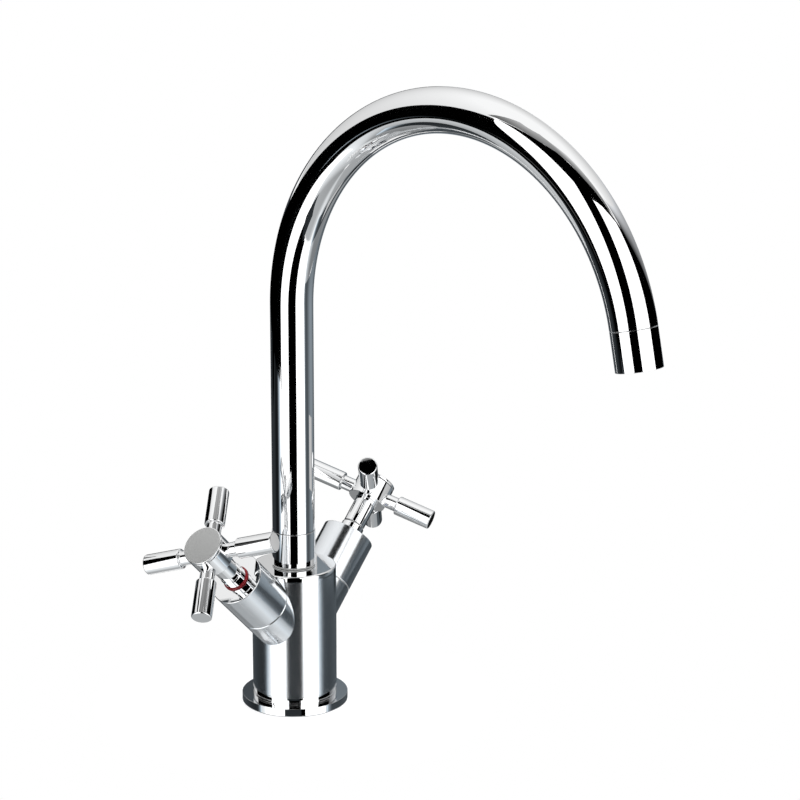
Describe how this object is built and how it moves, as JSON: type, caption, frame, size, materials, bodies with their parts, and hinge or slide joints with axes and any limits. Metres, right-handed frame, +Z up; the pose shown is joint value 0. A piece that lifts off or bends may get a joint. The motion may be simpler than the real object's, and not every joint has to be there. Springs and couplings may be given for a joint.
{
  "type": "two-handle kitchen mixer tap",
  "caption": "Deck-mounted mixer tap: round column on a flange, leaning valves with cross handles and a tall swan-neck spout that swivels.",
  "frame": {"origin": "centre of the underside of the base flange and body, on the top face of the sink or worktop", "axes": "+Z up, along the column; the spout reaches towards -Y, to the user; the hot valve leans out towards -X and the cold valve towards +X"},
  "size_m": [0.2073, 0.301, 0.3774],
  "materials": {
    "polished_chrome": "mirror-polished chrome plate on brass",
    "satin_chrome": "finely turned chrome plate, softer than the polished pieces",
    "raw_brass": "machined, unplated",
    "spring_steel": "bright stainless steel",
    "alumina": "lapped white ceramic",
    "black_rubber": "matt black",
    "white_plastic": "moulded, matt",
    "red_plastic": "dark red, satin",
    "blue_plastic": "dark blue, satin"
  },
  "bodies": {
    "base": {"base_flange": "polished_chrome", "deck_seal": "black_rubber", "mixer_body": "satin_chrome", "hot_valve_sleeve": "satin_chrome", "hot_index_ring": "red_plastic", "hot_bonnet_nut": "polished_chrome", "hot_cartridge_body": "raw_brass", "hot_seat_seal": "black_rubber", "hot_seat_disc": "alumina", "cold_valve_sleeve": "satin_chrome", "cold_index_ring": "blue_plastic", "cold_bonnet_nut": "polished_chrome", "cold_cartridge_body": "raw_brass", "cold_seat_seal": "black_rubber", "cold_seat_disc": "alumina"},
    "spout": {"spout_foot": "polished_chrome", "spout_tube": "polished_chrome", "spout_retaining_ring": "spring_steel", "swivel_washer": "white_plastic", "spout_rubber_ring_1": "black_rubber", "spout_rubber_ring_2": "black_rubber", "outlet_sleeve": "polished_chrome", "outlet_seal": "black_rubber", "outlet_screen": "spring_steel", "outlet_insert": "white_plastic"},
    "hot_handle": {"hot_control_disc": "alumina", "hot_spindle": "raw_brass", "hot_spindle_rubber_ring": "black_rubber", "hot_spindle_clip": "spring_steel", "hot_handle_hub": "polished_chrome", "hot_handle_arm_1": "polished_chrome", "hot_handle_arm_2": "polished_chrome", "hot_handle_arm_3": "polished_chrome", "hot_handle_arm_4": "polished_chrome", "hot_handle_screw": "spring_steel", "hot_handle_cap": "satin_chrome"},
    "cold_handle": {"cold_control_disc": "alumina", "cold_spindle": "raw_brass", "cold_spindle_rubber_ring": "black_rubber", "cold_spindle_clip": "spring_steel", "cold_handle_hub": "polished_chrome", "cold_handle_arm_1": "polished_chrome", "cold_handle_arm_2": "polished_chrome", "cold_handle_arm_3": "polished_chrome", "cold_handle_arm_4": "polished_chrome", "cold_handle_screw": "spring_steel", "cold_handle_cap": "satin_chrome"}
  },
  "joints": [
    {"name": "spout_swivel", "type": "hinge", "parent": "base", "child": "spout", "pos_m": [0, 0, 0.0855], "axis": [0, 0, 1], "continuous": true},
    {"name": "hot_handle_turn", "type": "hinge", "parent": "base", "child": "hot_handle", "pos_m": [-0.07409, 0, 0.11095], "axis": [-0.7193, 0, 0.6947], "range_deg": [0, 90]},
    {"name": "cold_handle_turn", "type": "hinge", "parent": "base", "child": "cold_handle", "pos_m": [0.07409, 0, 0.11095], "axis": [0.7193, 0, 0.6947], "range_deg": [0, 90]}
  ]
}
